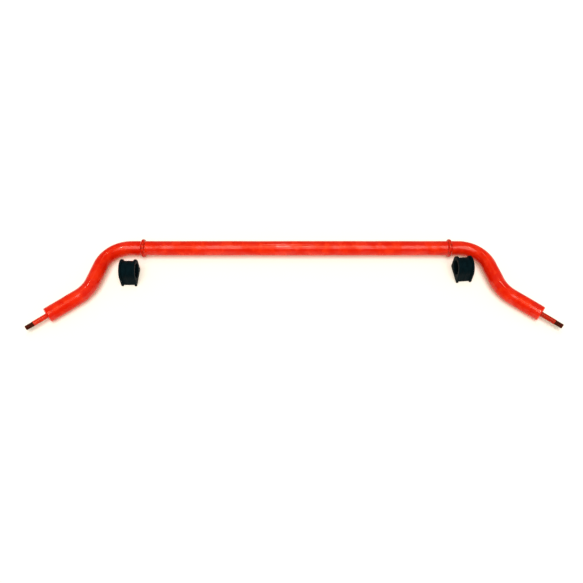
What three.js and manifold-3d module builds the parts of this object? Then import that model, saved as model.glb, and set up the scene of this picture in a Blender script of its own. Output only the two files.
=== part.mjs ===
// Vehicle sway bar: a bent steel tube with a plug and a threaded stud in each end, a stop ring
// round it beside each bushing seat, and two split rubber bushings that lie loose in front of it.
// Millimetres, +X along the bar, +Z up. The bar and the bushings rest on one flat surface, z = 0.

import * as THREE from 'three';
import { mergeVertices } from 'three/addons/utils/BufferGeometryUtils.js';
import Module from 'manifold-3d';

const wasm = await Module();
wasm.setup();

// Tube: its section, and its centre line from the middle of the bar out to its ends. The left arm
// ends a little further out than the right one.
const tubeDiameter = 28.6;
const tubeWall = 4.8;
const centreStraight = 645;
const shoulderRadius = 54;
const shoulderAngle = THREE.MathUtils.degToRad(76.7);
const armStraight = 39.5;
const elbowRadius = 67.5;
const elbowAngle = THREE.MathUtils.degToRad(36.9);
const leftEndStraight = 63;
const rightEndStraight = 59.6;

// Stop rings: a rounded steel ring at each end of the straight, set a little to the right.
const ringWidth = 6.4;
const ringHeight = 3.8;
const ringInset = 22;
const ringShift = 2.7;

// Plugs and studs in the tube's ends.
const plugLength = 28;
const plugChamfer = 1;
const studDiameter = 9.5;
const studReach = 43;
const studInside = 24;
const threadUndersize = 0.1;
const threadLength = 15.2;
const threadChamfer = 1.3;

// Bushings: a D-shaped block with a flange at each end, bored for the tube and slit at the back.
const bushingLength = 30.2;
const bushingWall = 7.6;
const bushingAxisHeight = 22.5;
const bushingBoreEase = 0.8;
const boreChamfer = 1;
const flangeThickness = 4.4;
const grooveDepth = 3;
const flangeEdge = 1.2;
const footCorner = 1.5;
const slitWidth = 0.8;

// Where each loose bushing stands: its gap outboard of its ring, its gap in front of the tube,
// and how far it is turned on the surface.
const bushingPlaces = [
  { side: 'left', sign: -1, outboardGap: 2.2, frontGap: 23, turn: THREE.MathUtils.degToRad(-0.8) },
  { side: 'right', sign: 1, outboardGap: 2.2, frontGap: 14.8, turn: THREE.MathUtils.degToRad(4.5) },
];

// Fits and facets.
const clearance = 0.3;
const bendSteps = 9;
const roundFacets = 40;
const smallFacets = 24;
const archSegments = 18;

const tubeRadius = tubeDiameter / 2;
const tubeBoreRadius = tubeRadius - tubeWall;
const ringRadius = tubeRadius + ringHeight;
const studRadius = studDiameter / 2;
const bushingBoreRadius = (tubeDiameter - bushingBoreEase) / 2;
const bushingRadius = bushingBoreRadius + bushingWall;

const tubePaint = new THREE.MeshStandardMaterial({ color: 0xd8200f, roughness: 0.35, metalness: 0.1 });
const ringPaint = new THREE.MeshStandardMaterial({ color: 0xc81c0e, roughness: 0.4, metalness: 0.1 });
const plugPaint = new THREE.MeshStandardMaterial({ color: 0xcc2412, roughness: 0.45, metalness: 0.1 });
const studSteel = new THREE.MeshStandardMaterial({ color: 0x4a1f18, roughness: 0.5, metalness: 0.7 });
const rubber = new THREE.MeshStandardMaterial({ color: 0x0c1517, roughness: 0.7, metalness: 0 });

// Stations along one half of the centre line, from the middle of the bar out to an end, in the
// bar's own plane. Heading is the angle that it has turned from +X towards -Y.
function halfStations(endStraight) {
  const stations = [];
  const point = new THREE.Vector3();
  let heading = 0;

  const direction = () => new THREE.Vector3(Math.cos(heading), -Math.sin(heading), 0);
  const mark = () => stations.push({ point: point.clone(), tangent: direction() });

  function straight(length) {
    point.addScaledVector(direction(), length);
    mark();
  }

  function bend(radius, angle) {
    const chord = 2 * radius * Math.sin(Math.abs(angle) / bendSteps / 2);
    for (let step = 0; step < bendSteps; step += 1) {
      heading += angle / bendSteps / 2;
      point.addScaledVector(direction(), chord);
      heading += angle / bendSteps / 2;
      mark();
    }
  }

  straight(centreStraight / 2);
  bend(shoulderRadius, shoulderAngle);
  straight(armStraight);
  bend(elbowRadius, -elbowAngle);
  straight(endStraight);
  return stations;
}

// The whole centre line, from the left end to the right, as a curve that an extrusion follows
// station by station, so that long straights take one step and bends take several.
class BarCentreLine extends THREE.Curve {
  constructor() {
    super();
    const right = halfStations(rightEndStraight);
    const left = halfStations(leftEndStraight).map(({ point, tangent }) => ({
      point: new THREE.Vector3(-point.x, point.y, 0),
      tangent: new THREE.Vector3(tangent.x, -tangent.y, 0),
    }));
    this.stations = [...left.reverse(), ...right];
  }

  get steps() {
    return this.stations.length - 1;
  }

  getSpacedPoints() {
    return this.stations.map(({ point }) => point.clone());
  }

  getTangentAt(u) {
    return this.stations[Math.round(u * this.steps)].tangent.clone();
  }
}

function circlePoints(radius, count) {
  return Array.from({ length: count }, (_, index) => {
    const angle = (index / count) * 2 * Math.PI;
    return new THREE.Vector2(radius * Math.cos(angle), radius * Math.sin(angle));
  });
}

function toSolid(geometry) {
  const bare = geometry.clone();
  bare.deleteAttribute('normal');
  bare.deleteAttribute('uv');
  const merged = mergeVertices(bare, 1e-4);
  return new wasm.Manifold(
    new wasm.Mesh({
      numProp: 3,
      vertProperties: new Float32Array(merged.attributes.position.array),
      triVerts: new Uint32Array(merged.index.array),
    }),
  );
}

function toGeometry(solid) {
  const { vertProperties, triVerts } = solid.getMesh();
  const geometry = new THREE.BufferGeometry();
  geometry.setAttribute('position', new THREE.BufferAttribute(vertProperties, 3));
  geometry.setIndex(new THREE.BufferAttribute(triVerts, 1));
  geometry.computeVertexNormals();
  return geometry;
}

function named(name, geometry, material) {
  const mesh = new THREE.Mesh(geometry, material);
  mesh.name = name;
  return mesh;
}

function lathe(profile, facets) {
  return new THREE.LatheGeometry(profile.map(([radius, height]) => new THREE.Vector2(radius, height)), facets);
}

const centreLine = new BarCentreLine();

function torsionTube() {
  const section = new THREE.Shape(circlePoints(tubeRadius, roundFacets));
  section.holes.push(new THREE.Path(circlePoints(tubeBoreRadius, smallFacets)));
  const geometry = new THREE.ExtrudeGeometry(section, {
    steps: centreLine.steps,
    extrudePath: centreLine,
    bevelEnabled: false,
  });
  return named('torsion_tube', geometry, tubePaint);
}

// A turned plug, pressed into the tube flush with its end and bored right through for the stud.
function endPlug(side) {
  const outer = tubeBoreRadius - clearance;
  const inner = studRadius + clearance;
  const profile = [
    [inner, -plugLength],
    [outer - plugChamfer, -plugLength],
    [outer, -plugLength + plugChamfer],
    [outer, 0],
    [inner, 0],
    [inner, -plugLength],
  ];
  return named(`${side}_end_plug`, lathe(profile, smallFacets), plugPaint);
}

// The stud: a plain shank out of the plug, then a slightly smaller threaded tip.
function endStud(side) {
  const threadRadius = (studDiameter - threadUndersize) / 2;
  const threadStart = studReach - threadLength;
  const profile = [
    [0, -studInside],
    [studRadius, -studInside],
    [studRadius, threadStart],
    [threadRadius, threadStart + studRadius - threadRadius],
    [threadRadius, studReach - threadChamfer],
    [threadRadius - threadChamfer, studReach],
    [0, studReach],
  ];
  return named(`${side}_end_stud`, lathe(profile, smallFacets), studSteel);
}

// A ring with a flat bore and a half-round crown, as wide as ringWidth.
function stopRing(side) {
  const bore = tubeRadius + clearance;
  const crown = ringRadius - bore;
  const crownSteps = 8;
  const profile = [[bore, -ringWidth / 2]];
  for (let step = 0; step <= crownSteps; step += 1) {
    const angle = (step / crownSteps) * Math.PI;
    const lift = 0.25 * crown + 0.75 * crown * Math.sin(angle);
    profile.push([bore + lift, (-ringWidth / 2) * Math.cos(angle)]);
  }
  profile.push([bore, ringWidth / 2], [bore, -ringWidth / 2]);
  return named(`${side}_stop_ring`, lathe(profile, roundFacets), ringPaint);
}

// A D outline round the bore axis: an arch on top and a flat foot below.
function archOutline(radius) {
  const foot = -bushingAxisHeight;
  const outline = new THREE.Shape();
  outline.absarc(0, 0, radius, 0, Math.PI);
  outline.lineTo(-radius, foot + footCorner);
  outline.lineTo(-radius + footCorner, foot);
  outline.lineTo(radius - footCorner, foot);
  outline.lineTo(radius, foot + footCorner);
  return outline;
}

// A slab of a D outline, centred at a place along the bushing, with its arris broken.
function archSlab(radius, thickness, centre, edge) {
  const geometry = new THREE.ExtrudeGeometry(archOutline(radius), {
    depth: thickness - 2 * edge,
    steps: 1,
    curveSegments: archSegments,
    bevelEnabled: edge > 0,
    bevelThickness: edge,
    bevelSize: edge,
    bevelOffset: -edge,
    bevelSegments: 1,
  });
  geometry.translate(0, 0, centre - thickness / 2 + edge);
  return toSolid(geometry);
}

function bushing(side) {
  const flangeCentre = (bushingLength - flangeThickness) / 2;
  const half = bushingLength / 2;
  const overshoot = 1;
  const boreCutter = lathe(
    [
      [0, -half - overshoot],
      [bushingBoreRadius + boreChamfer + overshoot, -half - overshoot],
      [bushingBoreRadius, -half + boreChamfer],
      [bushingBoreRadius, half - boreChamfer],
      [bushingBoreRadius + boreChamfer + overshoot, half + overshoot],
      [0, half + overshoot],
    ],
    roundFacets,
  );
  boreCutter.rotateX(Math.PI / 2);
  const slitCutter = new THREE.BoxGeometry(bushingRadius + overshoot, slitWidth, bushingLength + 2 * overshoot);
  slitCutter.translate((bushingRadius + overshoot) / 2, 0, 0);

  const solid = archSlab(bushingRadius - grooveDepth, bushingLength - flangeThickness, 0, 0)
    .add(archSlab(bushingRadius, flangeThickness, -flangeCentre, flangeEdge))
    .add(archSlab(bushingRadius, flangeThickness, flangeCentre, flangeEdge))
    .subtract(toSolid(boreCutter))
    .subtract(toSolid(slitCutter));

  // The outline was drawn across the bore, so its own x, y and z become Y, Z and X here.
  const geometry = toGeometry(solid);
  geometry.applyMatrix4(
    new THREE.Matrix4().makeBasis(
      new THREE.Vector3(0, 1, 0),
      new THREE.Vector3(0, 0, 1),
      new THREE.Vector3(1, 0, 0),
    ),
  );
  return named(`${side}_bushing`, geometry, rubber);
}

// Distance of each ring's middle from the middle of the bar, along the straight.
function ringPlace(sign) {
  return sign * (centreStraight / 2 - ringInset) + ringShift;
}

const swayBar = new THREE.Group();
const bar = new THREE.Group();
bar.add(torsionTube());

const upright = new THREE.Vector3(0, 1, 0);
const barEnds = [
  { side: 'left', sign: -1, station: centreLine.stations[0] },
  { side: 'right', sign: 1, station: centreLine.stations[centreLine.steps] },
];
for (const { side, sign, station } of barEnds) {
  const end = new THREE.Group();
  end.position.copy(station.point);
  end.quaternion.setFromUnitVectors(upright, station.tangent.clone().multiplyScalar(sign));
  end.add(endPlug(side), endStud(side));
  bar.add(end);

  const ring = stopRing(side);
  ring.rotation.z = -Math.PI / 2;
  ring.position.x = ringPlace(sign);
  bar.add(ring);
}

// At rest the bar lies on its two rings and on its longer arm, so it tips forward.
const reach = Math.max(...barEnds.map(({ station }) => -station.point.y));
bar.position.z = ringRadius;
bar.rotation.x = Math.asin((ringRadius - tubeRadius) / reach);
swayBar.add(bar);

for (const { side, sign, outboardGap, frontGap, turn } of bushingPlaces) {
  const piece = bushing(side);
  const alongBar = ringPlace(sign) + sign * (ringWidth / 2 + outboardGap + bushingLength / 2);
  piece.position.set(alongBar, -(tubeRadius + frontGap + bushingRadius), bushingAxisHeight);
  piece.rotation.z = turn;
  swayBar.add(piece);
}

// The origin is the middle of the footprint, on the surface that everything lies on.
swayBar.updateMatrixWorld(true);
const footprint = new THREE.Box3().setFromObject(swayBar, true);
const middle = footprint.getCenter(new THREE.Vector3());
swayBar.position.set(-middle.x, -middle.y, -footprint.min.z);

export default swayBar;
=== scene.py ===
import math

import bmesh
import bpy
from mathutils import Matrix, Vector, noise


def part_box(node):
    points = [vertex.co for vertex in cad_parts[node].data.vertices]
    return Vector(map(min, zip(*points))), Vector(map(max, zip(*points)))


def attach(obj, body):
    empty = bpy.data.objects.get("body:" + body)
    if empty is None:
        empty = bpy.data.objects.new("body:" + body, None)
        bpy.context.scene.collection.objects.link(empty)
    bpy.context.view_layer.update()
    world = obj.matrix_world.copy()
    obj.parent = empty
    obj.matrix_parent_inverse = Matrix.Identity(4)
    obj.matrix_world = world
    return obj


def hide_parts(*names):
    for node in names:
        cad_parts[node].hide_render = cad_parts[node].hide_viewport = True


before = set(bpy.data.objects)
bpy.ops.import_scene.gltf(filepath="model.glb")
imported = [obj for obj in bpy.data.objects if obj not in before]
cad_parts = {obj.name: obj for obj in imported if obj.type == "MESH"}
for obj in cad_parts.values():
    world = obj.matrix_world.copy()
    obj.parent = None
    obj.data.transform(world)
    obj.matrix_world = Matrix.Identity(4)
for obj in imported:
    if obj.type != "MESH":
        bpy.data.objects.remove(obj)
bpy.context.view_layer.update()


# ---------------------------------------------------------------------------------------------
# Torsion tube. One length of cold-drawn spring steel tube, bent on a mandrel at two shoulders and
# two elbows, which flattens it a little and puckers the inside of each bend. Its ends are sawn
# square and broken with a file. The whole bar is powder coated orange-red in one piece.
# ---------------------------------------------------------------------------------------------

MM = 0.001

tube_wall = 4.8 * MM
centre_straight = 645 * MM
shoulder_radius = 54 * MM
shoulder_angle = math.radians(76.7)
arm_straight = 39.5 * MM
elbow_radius = 67.5 * MM
elbow_angle = math.radians(36.9)
left_end_straight = 63 * MM
right_end_straight = 59.6 * MM
ring_shift = 2.7 * MM

tube_facets = 72
bend_step = math.radians(2.2)
straight_step = 9 * MM
bend_flattening = 0.45 * MM
pucker_height = 0.10 * MM
pucker_pitch = 8 * MM
end_round = 2.4 * MM
end_round_steps = 5
bore_chamfer = 0.5 * MM
metal_crease = math.radians(38)

ring_low, ring_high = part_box("left_stop_ring")
ring_radius = (ring_high.y - ring_low.y) / 2
ring_centres = {side: Vector.lerp(*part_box(f"{side}_stop_ring"), 0.5) for side in ("left", "right")}
bar_axis = (ring_centres["left"] + ring_centres["right"]) / 2
bar_axis.x -= ring_shift
tube_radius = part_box("torsion_tube")[1].y - bar_axis.y
tube_bore_radius = tube_radius - tube_wall


def half_line(end_straight):
    """Stations from the middle of the bar to one end: place, heading, bend share and bend length."""
    place, heading = Vector((0, 0, 0)), 0.0
    stations = [(place.copy(), heading, 0.0, 0.0)]
    legs = [
        (centre_straight / 2, 0, 0),
        (None, shoulder_radius, shoulder_angle),
        (arm_straight, 0, 0),
        (None, elbow_radius, -elbow_angle),
        (end_straight, 0, 0),
    ]
    for length, radius, angle in legs:
        arc = length or radius * abs(angle)
        steps = math.ceil(abs(angle) / bend_step) if angle else math.ceil(length / straight_step)
        for step in range(1, steps + 1):
            turn = angle / steps
            chord = 2 * radius * math.sin(abs(turn) / 2) if angle else arc / steps
            heading += turn / 2
            place = place + Vector((math.cos(heading), -math.sin(heading), 0)) * chord
            heading += turn / 2
            inside = math.copysign(math.sin(math.pi * step / steps), angle) if angle else 0.0
            stations.append((place, heading, inside, arc * step / steps))
    return stations


def whole_line():
    """Both halves as one line, from the left end of the bar to the right."""
    out_to_left = reversed(half_line(left_end_straight)[1:])
    left = [(Vector((-p.x, p.y, 0)), -h, inside, arc) for p, h, inside, arc in out_to_left]
    return left + half_line(right_end_straight)


def closed_mesh(name, points, faces, crease):
    """A smooth mesh with its faces pointing out, and sharp edges where it turns more than crease."""
    mesh = bpy.data.meshes.new(name)
    mesh.from_pydata([tuple(point) for point in points], [], faces)
    shaped = bmesh.new()
    shaped.from_mesh(mesh)
    bmesh.ops.recalc_face_normals(shaped, faces=shaped.faces)
    shaped.to_mesh(mesh)
    shaped.free()
    mesh.shade_smooth()
    mesh.set_sharp_from_angle(angle=crease)
    return mesh


def skin(name, rings, loop):
    """A mesh over rings of points: joined end to end if loop is true, else capped at both ends."""
    count = len(rings[0])
    points = [point for ring in rings for point in ring]
    faces = []
    for row in range(len(rings) if loop else len(rings) - 1):
        here, there = row * count, (row + 1) % len(rings) * count
        for column in range(count):
            after = (column + 1) % count
            faces.append((here + column, here + after, there + after, there + column))
    if not loop:
        faces += [tuple(range(count)), tuple(range(len(points) - count, len(points)))]
    return closed_mesh(name, points, faces, metal_crease)


def add_piece(name, mesh, place, material, body, node):
    """Moves a mesh to its place and adds it to the scene, on its body and for its CAD node."""
    mesh.transform(place)
    mesh.materials.append(material)
    piece = bpy.data.objects.new(name, mesh)
    bpy.context.scene.collection.objects.link(piece)
    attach(piece, body)
    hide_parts(node)


class Signal:
    """One value, colour or vector in a material's nodes. Arithmetic on it adds Math nodes."""

    def __init__(self, tree, socket=None):
        self.tree = tree
        self.socket = socket

    def make(self, kind, settings, sockets, output=0):
        """A node of any kind: its settings first, then a value or a link for each named socket."""
        node = self.tree.nodes.new(kind)
        for key, value in settings.items():
            setattr(node, key, value)
        for key, value in sockets.items():
            if isinstance(value, Signal):
                self.tree.links.new(value.socket, node.inputs[key])
            else:
                node.inputs[key].default_value = value
        return Signal(self.tree, node.outputs[output] if node.outputs else None)

    def maths(self, operation, *terms):
        return self.make("ShaderNodeMath", {"operation": operation}, dict(enumerate(terms)))

    def __add__(self, other):
        return self.maths("ADD", self, other)

    __radd__ = __add__

    def __sub__(self, other):
        return self.maths("SUBTRACT", self, other)

    def __rsub__(self, other):
        return self.maths("SUBTRACT", other, self)

    def __mul__(self, other):
        return self.maths("MULTIPLY", self, other)

    __rmul__ = __mul__

    def between(self, low, high):
        """0 below low and 1 above high, with a smooth step from one to the other."""
        settings = {"interpolation_type": "SMOOTHSTEP"}
        sockets = {"Value": self, "From Min": low, "From Max": high}
        return self.make("ShaderNodeMapRange", settings, sockets)

    def grain(self, size, detail=2.0, roughness=0.5):
        """Noise of about this grain size, read at this position."""
        sockets = {"Vector": self, "Scale": 1 / size, "Detail": detail, "Roughness": roughness}
        return self.make("ShaderNodeTexNoise", {}, sockets)

    def pick(self, first, second):
        """The first colour where this mask is 0, the second where it is 1."""
        sockets = {"Factor": self, 6: first, 7: second}
        return self.make("ShaderNodeMix", {"data_type": "RGBA"}, sockets, output=2)

    def axis(self, name):
        return self.make("ShaderNodeSeparateXYZ", {}, {"Vector": self}, output="XYZ".index(name))

    def bump(self, height, strength):
        """A surface normal from this height, where 1 stands for the given height in metres."""
        sockets = {"Height": self, "Distance": height, "Strength": strength}
        return self.make("ShaderNodeBump", {}, sockets)


def start_material(name):
    """An empty material, and the position on the piece that its patterns are read at."""
    material = bpy.data.materials.new(name)
    material.use_nodes = True
    material.node_tree.nodes.clear()
    at = Signal(material.node_tree).make("ShaderNodeTexCoord", {}, {}, output="Object")
    return material, at


def finish_material(at, sockets):
    """Joins these values and links to one shader, and the shader to the material's output."""
    shader = at.make("ShaderNodeBsdfPrincipled", {}, sockets)
    at.make("ShaderNodeOutputMaterial", {}, {"Surface": shader})


def paint_layers(at, extra_dirt_and_shade):
    """The powder coat's colour, gloss and surface, with grime laid on where the darkening passed in is
    near 1: dirt, and painted shade where a caller passes it.
    """
    fresh_red = (0.74, 0.016, 0.0012, 1)
    thick_red = (0.65, 0.0080, 0.0006, 1)
    thin_orange = (0.84, 0.050, 0.0060, 1)
    grime_and_shade = (0.17, 0.006, 0.0015, 1)
    primer = (0.09, 0.018, 0.0080, 1)
    thin_share = 0.2
    smear_share = 0.4
    even_coat, flowed_coat = 0.04, 0.36
    relief = 0.16 * MM

    cloud = at.grain(26 * MM, detail=3.0)
    patch = at.grain(13 * MM, detail=3.0)
    film = cloud.between(0.38, 0.66).pick(thick_red, fresh_red)
    film = (patch.between(0.50, 0.68) * thin_share).pick(film, thin_orange)
    smears = at.grain(5.5 * MM, detail=4.0, roughness=0.65).between(0.60, 0.74)
    dirt_and_shade = smears * smear_share + extra_dirt_and_shade
    # The dark grime colour stands for dirt, and beside the stop rings also for painted shade.
    soiled_and_shaded = dirt_and_shade.between(0.0, 1.0).pick(film, grime_and_shade)
    handled = at.grain(31 * MM).between(0.50, 0.58)
    chip = at.grain(1.7 * MM, detail=1.0).between(0.775, 0.80) * handled
    colour = chip.pick(soiled_and_shaded, primer)

    peel = at.grain(1.3 * MM, detail=1.0) * 0.2 + at.grain(5.5 * MM, detail=1.0) * 0.6
    sag = at.grain(30 * MM, detail=2.0) * 5.0
    gloss = 0.14 + 0.18 * cloud.between(0.3, 0.7) + 0.25 * dirt_and_shade + 0.2 * chip
    unmarked = 1 - dirt_and_shade.between(0.0, 1.0)
    flow = at.grain(38 * MM, detail=3.0, roughness=0.6).between(0.46, 0.56) * unmarked
    normal = (peel + sag - chip * 0.6).bump(relief, 0.8)
    return {
        "Base Color": colour,
        "Roughness": gloss,
        "Coat Weight": even_coat + flow * flowed_coat,
        "Coat Roughness": 0.08,
        "Specular IOR Level": 0.20,
        "Specular Tint": (1.0, 0.62, 0.30, 1),
        "Normal": normal,
    }


# Against both sides of each stop ring the tube is darkened: dirt that gathers where a cloth doesn't
# reach, and painted shade in the corner between ring and tube.
shade_and_dirt_reach = 6 * MM
shade_and_dirt_weight = 0.7

tube_paint, at = start_material("powder_coat_on_tube")
along = at.axis("X")
near_ring = 0
for centre in ring_centres.values():
    gap = (along - centre.x).maths("ABSOLUTE", along - centre.x)
    near_ring = near_ring + (1 - gap.between(shade_and_dirt_reach * 0.4, shade_and_dirt_reach))
# Painted shade and dirt: a ragged dark band on the tube beside each ring.
ring_shade_and_dirt = near_ring * at.grain(2.4 * MM).between(0.30, 0.65) * shade_and_dirt_weight
finish_material(at, paint_layers(at, ring_shade_and_dirt))


def tube_ring(station, radius, along_shift=0.0, shaped=True):
    """A circle of points round one station, flattened and puckered where the tube is bent."""
    place, heading, inside, arc = station
    forward = Vector((math.cos(heading), -math.sin(heading), 0))
    inward = Vector((-math.sin(heading), -math.cos(heading), 0))
    centre = place + forward * along_shift
    ring = []
    for facet in range(tube_facets):
        angle = 2 * math.pi * facet / tube_facets
        across, up = math.cos(angle), math.sin(angle)
        flat = bend_flattening * abs(inside) if shaped else 0.0
        towards_centre = max(0.0, across * math.copysign(1, inside)) if inside and shaped else 0.0
        wave = 0.5 - 0.5 * math.cos(2 * math.pi * arc / pucker_pitch)
        pucker = pucker_height * abs(inside) * towards_centre**2 * wave
        ring.append(centre + inward * across * (radius - flat - pucker) + Vector((0, 0, up * radius)))
    return ring


line = whole_line()
outside = [tube_ring(station, tube_radius) for station in line[1:-1]]
right_end, left_end = [], []
for step in range(end_round_steps + 1):
    turn = math.pi / 2 * step / end_round_steps
    drop = end_round * (1 - math.cos(turn))
    set_back = end_round * (1 - math.sin(turn))
    right_end.append(tube_ring(line[-1], tube_radius - drop, -set_back, False))
    left_end.append(tube_ring(line[0], tube_radius - drop, set_back, False))
for end, ends, sign in ((line[-1], right_end, -1), (line[0], left_end, 1)):
    ends.append(tube_ring(end, tube_bore_radius + bore_chamfer, 0, False))
    ends.append(tube_ring(end, tube_bore_radius, sign * bore_chamfer, False))
inside_wall = [tube_ring(station, tube_bore_radius, 0, False) for station in reversed(line[1:-1])]
tube_mesh = skin("torsion_tube_coated", outside + right_end + inside_wall + left_end[::-1], True)

# The bar lies on its two rings and on its longer arm, so it tips forward.
reach = max(-line[0][0].y, -line[-1][0].y)
tip = math.asin((ring_radius - tube_radius) / reach)
bar_place = Matrix.Translation(bar_axis) @ Matrix.Rotation(tip, 4, "X")
add_piece("torsion_tube_coated", tube_mesh, bar_place, tube_paint, "bar", "torsion_tube")


# ---------------------------------------------------------------------------------------------
# Stop rings. A half-round steel ring is slid on beside each bushing seat and welded by hand along
# both sides, so its section is even and its weld toes wander. They are coated with the bar.
# ---------------------------------------------------------------------------------------------

ring_width = ring_high.x - ring_low.x
weld_reach = 1.7 * MM
weld_wander = 0.45 * MM
wander_ripples = 2.6
side_share = 0.34
crown_fullness = 0.75
edge_wear = 0.12 * MM
wear_ripples = 2.2
ring_facets = 120
crown_steps = 12
sunk = 0.15 * MM

ring_paint, at = start_material("powder_coat_on_rings")
# The rings are darkened in patches all over: dirt, and painted shade on the ring.
finish_material(at, paint_layers(at, at.grain(3.0 * MM, detail=3.0).between(0.40, 0.65) * 0.6))


def round_about(angle, radius, along):
    """A point at this angle round the bar, and this far along it."""
    return Vector((along, radius * math.cos(angle), radius * math.sin(angle)))


def stop_ring(seed):
    """Rings of points from one weld toe over the crown to the other, and back under the ring."""
    rows = []
    crown = ring_radius - tube_radius
    for step in range(-1, crown_steps + 2):
        swing = math.pi * min(max(step / crown_steps, 0), 1)
        row = []
        for facet in range(ring_facets):
            angle = 2 * math.pi * facet / ring_facets
            spot = Vector((math.cos(angle), math.sin(angle), seed)) * wander_ripples
            if step in (-1, crown_steps + 1):
                side = math.copysign(1, step)
                wander = noise.noise(spot + Vector((0, 0, 5 * side)))
                along = side * (ring_width / 2 + weld_reach + weld_wander * wander)
                row.append(round_about(angle, tube_radius - sunk, along))
            else:
                lift = side_share + (1 - side_share) * math.sin(swing) ** crown_fullness
                wear = edge_wear * (1 + noise.noise(spot * wear_ripples))
                height = tube_radius + crown * lift - wear
                row.append(round_about(angle, height, -ring_width / 2 * math.cos(swing)))
        rows.append(row)
    for end in (1, -1):
        along = end * ring_width / 2
        under = [2 * math.pi * facet / ring_facets for facet in range(ring_facets)]
        rows.append([round_about(angle, tube_radius - 3 * sunk, along) for angle in under])
    return rows


for side, seed in (("left", 3.1), ("right", 8.4)):
    name = f"{side}_stop_ring_welded"
    ring_mesh = skin(name, stop_ring(seed), True)
    ring_place = Matrix.Translation(ring_centres[side])
    add_piece(name, ring_mesh, ring_place, ring_paint, "bar", f"{side}_stop_ring")


# ---------------------------------------------------------------------------------------------
# End plugs. A turned steel plug closes each end of the tube, pressed in flush and bored through
# for the stud. Its outer edge and its bore are chamfered, and the powder coat covers its face.
# ---------------------------------------------------------------------------------------------

press_gap = 0.3 * MM
plug_length = 28 * MM
plug_lead = 1.0 * MM
face_chamfer = 0.5 * MM
bore_sink = 0.8 * MM
stud_radius = 4.75 * MM
plug_facets = 64

plug_paint, at = start_material("powder_coat_on_plugs")
finish_material(at, paint_layers(at, at.grain(1.8 * MM, detail=3.0).between(0.4, 0.8) * 0.5))


def turned(profile, facets):
    """Rings of points for a profile of radius and height turned about local Z."""
    steps = [2 * math.pi * facet / facets for facet in range(facets)]
    return [[Vector((r * math.cos(a), r * math.sin(a), height)) for a in steps] for r, height in profile]


def end_place(sign):
    """Where an end of the tube is: local Z points out of it, from the middle of its end face."""
    centre, heading = line[-1 if sign > 0 else 0][:2]
    outward = Vector((math.cos(heading), -math.sin(heading), 0)) * sign
    up = Vector((0, 0, 1))
    turn = Matrix((up.cross(outward), up, outward)).transposed()
    return bar_place @ Matrix.Translation(centre) @ turn.to_4x4()


plug_radius = tube_bore_radius - press_gap
plug_bore_radius = stud_radius + press_gap
plug_profile = [
    (plug_bore_radius, -plug_length),
    (plug_radius - plug_lead, -plug_length),
    (plug_radius, -plug_length + plug_lead),
    (plug_radius, -face_chamfer),
    (plug_radius - face_chamfer, 0),
    (plug_bore_radius + bore_sink, 0),
    (plug_bore_radius, -bore_sink),
]
for side, sign in (("left", -1), ("right", 1)):
    name = f"{side}_end_plug_turned"
    plug_mesh = skin(name, turned(plug_profile, plug_facets), True)
    add_piece(name, plug_mesh, end_place(sign), plug_paint, "bar", f"{side}_end_plug")


# ---------------------------------------------------------------------------------------------
# End studs. A steel stud stands out of each plug. Its shank is coated with the bar, and its tip
# carries a rolled thread, masked while the bar was coated, so it is bare, dark and oily.
# ---------------------------------------------------------------------------------------------

stud_inside = 24 * MM
stud_reach = 43 * MM
thread_length = 15.2 * MM
thread_radius = 4.7 * MM
thread_pitch = 25.4 / 24 * MM
thread_depth = 0.62 * MM
tip_round = 2.1 * MM
crest_share = 0.16
root_share = 0.20
rows_per_turn = 12
stud_facets = 48
shank_steps = 6
inner_chamfer = 0.4 * MM
mask_wander = 0.8 * MM
mask_blur = 0.3 * MM
shank_grime = {"left": 0.12, "right": 0.38}

thread_start = stud_reach - thread_length


def stud_finish(side, place):
    """Paint up to a ragged edge at the start of the thread, then bare oxidised steel."""
    material, at = start_material(f"{side}_coated_shank_and_bare_thread")
    smears = at.grain(2.0 * MM, detail=3.0).between(0.3, 0.8) * 0.5
    sockets = paint_layers(at, smears + shank_grime[side])
    axis = place.col[2].to_3d()
    mask_edge = place.translation.dot(axis) + thread_start
    settings = {"operation": "DOT_PRODUCT"}
    height = at.make("ShaderNodeVectorMath", settings, {0: at, 1: axis}, output="Value")
    ragged = height + (at.grain(2.5 * MM, detail=3.0) - 0.5) * (2 * mask_wander)
    bare = ragged.between(mask_edge - mask_blur, mask_edge + mask_blur)
    oxide = at.grain(1.6 * MM, detail=4.0, roughness=0.6)
    dark_oil = (0.040, 0.006, 0.003, 1)
    brown_oxide = (0.15, 0.018, 0.009, 1)
    steel = oxide.between(0.35, 0.7).pick(dark_oil, brown_oxide)
    sockets["Base Color"] = bare.pick(sockets["Base Color"], steel)
    sockets["Roughness"] = sockets["Roughness"] + bare * (0.16 + 0.2 * oxide)
    sockets["Metallic"] = bare * 0.35
    sockets["Coat Weight"] = sockets["Coat Weight"] * (1 - bare)
    finish_material(at, sockets)
    return material


def thread_depth_at(phase):
    """How deep the thread is at this share of a turn: 0 along its crest and 1 along its root."""
    off_crest = min(phase, 1 - phase) * 2
    return min(max((off_crest - crest_share) / (1 - crest_share - root_share), 0.0), 1.0)


def rounded(distance, radius):
    """How far a rounded edge has dropped at this distance from the face it rounds into."""
    inside = min(max(radius - distance, 0.0), radius)
    return radius - math.sqrt(max(radius * radius - inside * inside, 0.0))


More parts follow.
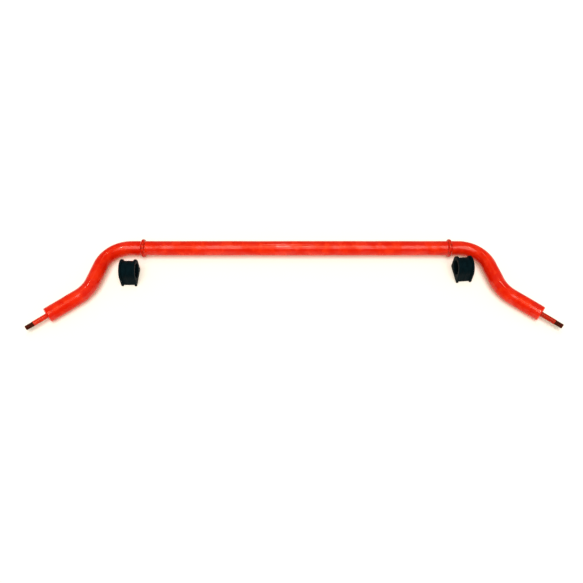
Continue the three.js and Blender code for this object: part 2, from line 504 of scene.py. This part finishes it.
def stud_rings():
    """Rings of points up the plain shank, then along the thread to the rounded tip."""
    plain = [
        (stud_radius - inner_chamfer, -stud_inside),
        (stud_radius, -stud_inside + inner_chamfer),
    ]
    plain += [(stud_radius, thread_start * step / shank_steps) for step in range(shank_steps + 1)]
    rings = turned(plain, stud_facets)
    rows = round(thread_length / thread_pitch * rows_per_turn)
    for row in range(1, rows + 1):
        height = thread_start + thread_length * row / rows
        fade = min((height - thread_start) / thread_pitch, 1.0)
        ring = []
        for facet in range(stud_facets):
            turn = facet / stud_facets
            depth = thread_depth * fade * thread_depth_at((height / thread_pitch - turn) % 1.0)
            dome = thread_radius - rounded(stud_reach - height, tip_round)
            radius = min(thread_radius - depth, dome)
            angle = 2 * math.pi * turn
            ring.append(Vector((radius * math.cos(angle), radius * math.sin(angle), height)))
        rings.append(ring)
    return rings


for side, sign in (("left", -1), ("right", 1)):
    name = f"{side}_end_stud_threaded"
    stud_mesh = skin(name, stud_rings(), False)
    place = end_place(sign)
    finish = stud_finish(side, place)
    add_piece(name, stud_mesh, place, finish, "bar", f"{side}_end_stud")


# ---------------------------------------------------------------------------------------------
# Bushings. Two D-shaped blocks of black rubber, moulded with a flange at each end for the bracket
# to sit between, bored for the tube and slit through at the back so that they open over it. The
# two halves of the mould leave a thin line round the middle.
# ---------------------------------------------------------------------------------------------

bushing_length = 30.2 * MM
bore_radius = 13.9 * MM
flange_radius = 21.5 * MM
groove_depth = 3.0 * MM
flange_thickness = 4.4 * MM
flange_round = 1.5 * MM
groove_fillet = 1.2 * MM
mouth_round = 1.4 * MM
foot_round = 1.6 * MM
slit_width = 0.8 * MM
axis_height = 22.5 * MM
mould_line_height = 0.5 * MM
mould_line_width = 0.8 * MM
arch_points = 56
side_points = 10
foot_points = 26
round_points = 4
corner_room = 1.3
flange_steps = 5
mouth_steps = 6
groove_rows = (0.35, 0.6)
groove_edge_gap = 0.02 * MM
rubber_crease = math.radians(40)
bushing_turns = {"left": math.radians(-0.8), "right": math.radians(4.5)}

rubber, at = start_material("moulded_rubber")
bloom = at.grain(9 * MM, detail=4.0, roughness=0.6)
specks = at.grain(0.9 * MM, detail=2.0)
fresh_black = (0.0004, 0.0030, 0.0044, 1)
bloomed_black = (0.0012, 0.0062, 0.0085, 1)
dust = (0.010, 0.018, 0.019, 1)
dust_share = 0.2
black = bloom.between(0.35, 0.72).pick(fresh_black, bloomed_black)
dusty = specks.between(0.62, 0.80) * bloom.between(0.45, 0.75)
finish_material(
    at,
    {
        "Base Color": (dusty * dust_share).pick(black, dust),
        "Roughness": 0.50 + 0.22 * bloom + 0.1 * specks,
        "Normal": (specks * 0.6 + bloom).bump(0.10 * MM, 0.6),
        "Specular IOR Level": 0.07,
        "Specular Tint": (0.3, 0.8, 1.0, 1),
    },
)


def outer_radius(along):
    """The block's outer radius at this distance from its middle, flanges and mould line included."""
    end = bushing_length / 2 - abs(along)
    into_groove = end - flange_thickness
    if into_groove <= 0:
        return flange_radius - rounded(end, flange_round) - rounded(-into_groove, flange_round / 2)
    fillet = max(groove_fillet - rounded(into_groove, groove_fillet) - groove_fillet, 0)
    ridge = mould_line_height * max(0.0, 1 - abs(along) / mould_line_width)
    return flange_radius - groove_depth + fillet + ridge


def block_outline(radius, foot_lift):
    """The D outline from the slit's upper lip over the arch and round the foot to its lower lip."""
    lip = math.asin(slit_width / 2 / radius)
    foot = -axis_height + foot_lift
    outline = []
    for step in range(arch_points + 1):
        angle = lip + (math.pi - lip) * step / arch_points
        outline.append((radius * math.cos(angle), radius * math.sin(angle)))
    front = [(-radius, foot * step / side_points) for step in range(1, side_points)]
    outline += [(y, z) for y, z in front if z > foot + foot_round * corner_room]
    for corner, start in ((-1, math.pi), (1, 1.5 * math.pi)):
        for step in range(round_points + 1):
            angle = start + math.pi / 2 * step / round_points
            y = corner * (radius - foot_round) + foot_round * math.cos(angle)
            outline.append((y, foot + foot_round + foot_round * math.sin(angle)))
        if corner < 0:
            width = 2 * (radius - foot_round)
            middle = range(1, foot_points)
            outline += [(-width / 2 + width * step / foot_points, foot) for step in middle]
    back = [(radius, foot * (1 - step / side_points)) for step in range(1, side_points)]
    outline += [(y, z) for y, z in back if z > foot + foot_round * corner_room]
    outline.append((radius * math.cos(lip), -radius * math.sin(lip)))
    return outline


def bore_outline(outline, radius):
    """The bore's outline, with one point inward of each point of the block's, and the same slit."""
    lip = slit_width / 2
    wall = math.sqrt(radius**2 - lip**2)
    bore = [(y / math.hypot(y, z) * radius, z / math.hypot(y, z) * radius) for y, z in outline]
    return [(wall, lip), *bore[1:-1], (wall, -lip)]


def quarter_round(radius, steps):
    """How far from a face each row of points stands over the round at its edge."""
    return [radius * (1 - math.cos(math.pi / 2 * step / steps)) for step in range(steps + 1)]


def bushing_mesh(name):
    """The block and its bore as rows of points along the bar, open at the slit and closed round it."""
    half = bushing_length / 2
    groove_edge = half - flange_thickness
    edges = {0.0, mould_line_width, groove_edge - groove_edge_gap}
    edges |= {half - step for step in quarter_round(flange_round, flange_steps)}
    edges |= {half - step for step in quarter_round(mouth_round, mouth_steps)}
    edges |= {groove_edge + step / 2 for step in quarter_round(flange_round, flange_steps)}
    edges |= {half * share for share in groove_rows}
    places = sorted({round(sign * edge, 7) for edge in edges for sign in (-1, 1)})

    points, rows = [], []
    for along in places:
        end = half - abs(along)
        outline = block_outline(outer_radius(along), rounded(end, flange_round))
        outline += bore_outline(outline, bore_radius + rounded(end, mouth_round))
        rows.append(range(len(points), len(points) + len(outline)))
        points += [(along, y, z) for y, z in outline]
    count = len(rows[0]) // 2
    faces = []
    for here, there in zip(rows, rows[1:]):
        for column in range(count - 1):
            faces.append((here[column], here[column + 1], there[column + 1], there[column]))
            inner = column + count
            faces.append((here[inner], there[inner], there[inner + 1], here[inner + 1]))
        for edge in (0, count - 1):
            faces.append((here[edge], here[edge + count], there[edge + count], there[edge]))
    for row in (rows[0], rows[-1]):
        for column in range(count - 1):
            inner = column + count
            faces.append((row[column], row[column + 1], row[inner + 1], row[inner]))
    return closed_mesh(name, points, faces, rubber_crease)


for side, turn in bushing_turns.items():
    node = f"{side}_bushing"
    centre = Vector.lerp(*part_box(node), 0.5)
    place = Matrix.Translation((centre.x, centre.y, axis_height)) @ Matrix.Rotation(turn, 4, "Z")
    name = f"{side}_bushing_moulded"
    add_piece(name, bushing_mesh(name), place, rubber, node, node)


# ---------------------------------------------------------------------------------------------
# Studio. A pale matt floor that glows a little, so that shadows stay light, one broad soft light
# in front, two narrow strips overhead and a dim even surround.
# ---------------------------------------------------------------------------------------------

floor_size = 60.0
floor_drop = 0.2 * MM

floor_finish, at = start_material("pale_floor")
dull_tone = (0.88, 0.88, 0.86, 1)
bright_tone = (0.90, 0.90, 0.88, 1)
tone = at.grain(300 * MM).pick(dull_tone, bright_tone)
finish_material(
    at,
    {
        "Base Color": tone,
        "Roughness": 0.9,
        "Specular IOR Level": 0.2,
        "Emission Color": (1.0, 0.74, 0.34, 1),
        "Emission Strength": 0.16,
    },
)

half_floor = floor_size / 2
corners = [(-half_floor, -half_floor, 0), (half_floor, -half_floor, 0)]
corners += [(half_floor, half_floor, 0), (-half_floor, half_floor, 0)]
floor_mesh = bpy.data.meshes.new("floor")
floor_mesh.from_pydata(corners, [], [(0, 1, 2, 3)])
floor_mesh.materials.append(floor_finish)
floor = bpy.data.objects.new("floor", floor_mesh)
floor.location.z = -floor_drop
bpy.context.scene.collection.objects.link(floor)

world = bpy.data.worlds.new("surround")
world.use_nodes = True
surround = world.node_tree.nodes["Background"]
surround.inputs["Color"].default_value = (1.0, 0.93, 0.81, 1)
surround.inputs["Strength"].default_value = 0.40
bpy.context.scene.world = world


def add_sun(name, elevation, azimuth, strength, spread, colour):
    """A soft light from far away: its height above the floor, and its side counted from -Y to +X."""
    lamp = bpy.data.lights.new(name, "SUN")
    lamp.energy = strength
    lamp.angle = math.radians(spread)
    lamp.color = colour
    light = bpy.data.objects.new(name, lamp)
    high, round_about_z = math.radians(elevation), math.radians(azimuth)
    source = Vector(
        (
            math.cos(high) * math.sin(round_about_z),
            -math.cos(high) * math.cos(round_about_z),
            math.sin(high),
        )
    )
    light.rotation_mode = "QUATERNION"
    light.rotation_quaternion = source.to_track_quat("Z", "Y")
    bpy.context.scene.collection.objects.link(light)


add_sun("front_softbox", 66, 0, 2.4, 50, (1.0, 0.98, 0.95))
add_sun("front_strip", 81, 0, 0.30, 4, (1.0, 0.92, 0.78))
add_sun("rear_strip", 68, 180, 0.20, 4, (1.0, 0.92, 0.78))


# ---------------------------------------------------------------------------------------------
# Camera. It stands above and in front of the bar and looks down on it, turned and rolled a little,
# so that the bar lies not quite level across the picture.
# ---------------------------------------------------------------------------------------------

aim = Vector((-6.67, -21.10, 18.1)) * MM
distance = 1219.7 * MM
elevation = math.radians(54)
yaw = math.radians(0.986)
roll = math.radians(0.753)
field_width = 36.0
focal_length = 40.14

forward = Vector(
    (
        math.sin(yaw) * math.cos(elevation),
        math.cos(yaw) * math.cos(elevation),
        -math.sin(elevation),
    )
)
right = Vector((math.cos(yaw), -math.sin(yaw), 0))
up = right.cross(forward)
level = Matrix((right, up, -forward)).transposed().to_4x4()
camera_data = bpy.data.cameras.new("camera")
camera_data.sensor_width = field_width
camera_data.lens = focal_length
camera = bpy.data.objects.new("camera", camera_data)
camera.matrix_world = (
    Matrix.Translation(aim - forward * distance) @ level @ Matrix.Rotation(roll, 4, "Z")
)
bpy.context.scene.collection.objects.link(camera)
bpy.context.scene.camera = camera
bpy.context.scene.view_settings.view_transform = "Standard"
